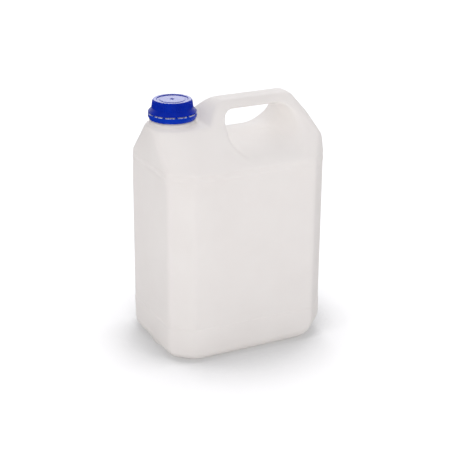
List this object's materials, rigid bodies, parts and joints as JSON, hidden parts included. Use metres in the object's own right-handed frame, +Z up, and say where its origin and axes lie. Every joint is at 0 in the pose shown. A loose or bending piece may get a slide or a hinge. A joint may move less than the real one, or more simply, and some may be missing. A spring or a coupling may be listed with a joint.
{
  "type": "radiator fluid jug",
  "caption": "Translucent white blow-moulded five-litre jug with an integral handle, chamfered corners and a screw cap with tamper band.",
  "frame": {"origin": "centre of the base, on the plane the jug stands on", "axes": "+Z up; +X along the broad face towards the handle end, the neck is at -X; +Y through the depth"},
  "size_m": [0.1856, 0.137, 0.2741],
  "materials": {
    "hdpe_body": "satin, translucent natural polyethylene",
    "cap_blue": "moulded, low gloss",
    "liner_foam": "matt foamed polyethylene"
  },
  "bodies": {
    "jug": {"jug_body": "hdpe_body", "tamper_ring": "cap_blue"},
    "liner": {"seal_liner": "liner_foam"},
    "cap": {"cap": "cap_blue"}
  },
  "joints": [
    {"name": "cap_lift", "type": "slide", "parent": "jug", "child": "liner", "axis": [0, 0, 1], "range_m": [0, 0.0251]},
    {"name": "cap_turn", "type": "hinge", "parent": "liner", "child": "cap", "pos_m": [-0.0645, 0, 0.26], "axis": [0, 0, 1], "range_deg": [0, 1800]}
  ],
  "couplings": [
    {"joint": "cap_lift", "follows": "cap_turn", "m_per_rad": 0.00079577}
  ]
}
